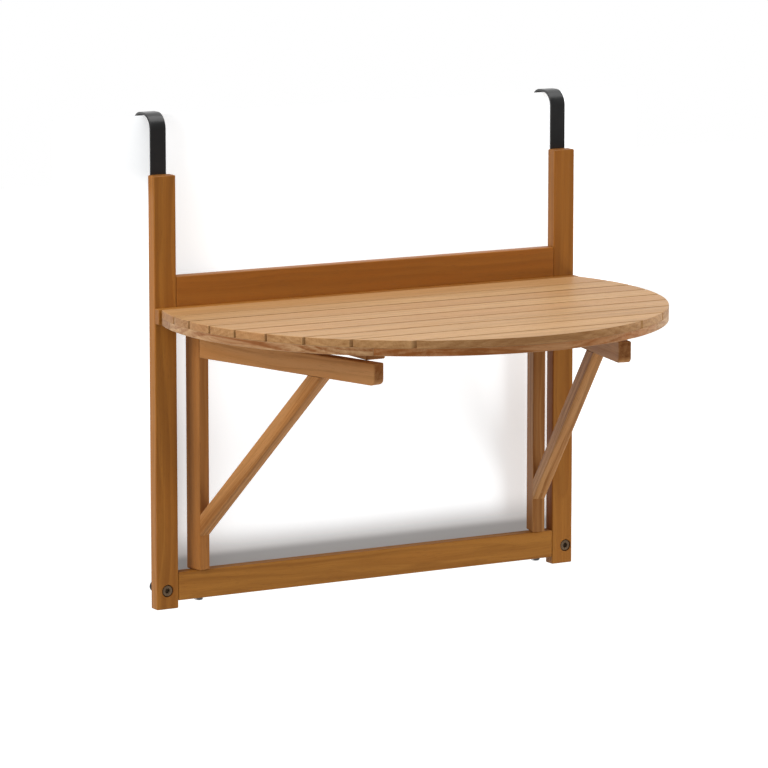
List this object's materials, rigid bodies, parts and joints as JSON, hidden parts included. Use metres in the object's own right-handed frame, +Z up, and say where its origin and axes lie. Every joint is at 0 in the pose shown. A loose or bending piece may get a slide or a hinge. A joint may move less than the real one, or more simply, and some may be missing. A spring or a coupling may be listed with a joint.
{
  "type": "folding balcony table",
  "caption": "Half-round slatted wooden table on a frame that hangs on a railing by two steel hooks, held up by two swing-out gates.",
  "frame": {"origin": "middle of the railing's top edge, on the plane of the undersides of both hooks", "axes": "+X to the table's right as its user faces it, +Y towards and past the railing, +Z up"},
  "size_m": [0.6, 0.4649, 0.585],
  "materials": {
    "frame_wood": "oiled orange-brown hardwood, satin",
    "top_wood": "oiled hardwood, sanded, lit pale from above",
    "gate_wood": "oiled orange-brown hardwood, satin",
    "dowel_wood": "plain beech",
    "hook_steel": "dark grey powder coat, satin",
    "screw_steel": "zinc plated",
    "dark_steel": "black oxide",
    "insert_brass": "turned",
    "cap_rubber": "moulded, matt"
  },
  "bodies": {
    "frame": {"left_post": "frame_wood", "right_post": "frame_wood", "top_rail": "frame_wood", "bottom_rail": "frame_wood", "hinge_ledger": "top_wood", "left_hook": "hook_steel", "right_hook": "hook_steel", "hook_screws": "screw_steel", "ledger_screws": "screw_steel", "rail_dowels": "dowel_wood", "foot_inserts": "insert_brass", "hinge_back_leaves": "screw_steel", "hinge_pins": "screw_steel", "hinge_back_screws": "screw_steel"},
    "top": {"slat_1": "top_wood", "slat_2": "top_wood", "slat_3": "top_wood", "slat_4": "top_wood", "slat_5": "top_wood", "slat_6": "top_wood", "slat_7": "top_wood", "slat_8": "top_wood", "slat_9": "top_wood", "rim_left": "top_wood", "rim_front": "top_wood", "rim_right": "top_wood", "rim_rear_rail": "top_wood", "left_batten": "top_wood", "right_batten": "top_wood", "slat_screws": "screw_steel", "batten_screws": "screw_steel", "hinge_front_leaves": "screw_steel", "hinge_front_screws": "screw_steel"},
    "left_gate": {"left_gate_leg": "gate_wood", "left_gate_arm": "gate_wood", "left_gate_brace": "gate_wood", "left_gate_dowels": "dowel_wood", "left_upper_pivot": "screw_steel", "left_lower_pivot_bolt": "screw_steel"},
    "right_gate": {"right_gate_leg": "gate_wood", "right_gate_arm": "gate_wood", "right_gate_brace": "gate_wood", "right_gate_dowels": "dowel_wood", "right_upper_pivot": "screw_steel", "right_lower_pivot_bolt": "screw_steel"},
    "left_foot": {"left_foot_bolt": "dark_steel", "left_foot_cap": "cap_rubber"},
    "right_foot": {"right_foot_bolt": "dark_steel", "right_foot_cap": "cap_rubber"}
  },
  "joints": [
    {"name": "top_lift", "type": "hinge", "parent": "frame", "child": "top", "pos_m": [0, -0.04985, -0.2435], "axis": [-1, 0, 0], "range_deg": [0, 6.5]},
    {"name": "left_gate_swing", "type": "hinge", "parent": "frame", "child": "left_gate", "pos_m": [-0.2293, -0.03075, -0.539], "axis": [0, 0, 1], "range_deg": [-14.8, 75.2]},
    {"name": "right_gate_swing", "type": "hinge", "parent": "frame", "child": "right_gate", "pos_m": [0.24, -0.03075, -0.539], "axis": [0, 0, -1], "range_deg": [-12.1, 71.9]},
    {"name": "left_foot_adjust", "type": "slide", "parent": "frame", "child": "left_foot", "axis": [0, 1, 0], "range_m": [-0.012, 0]},
    {"name": "right_foot_adjust", "type": "slide", "parent": "frame", "child": "right_foot", "axis": [0, 1, 0], "range_m": [-0.012, 0]}
  ]
}
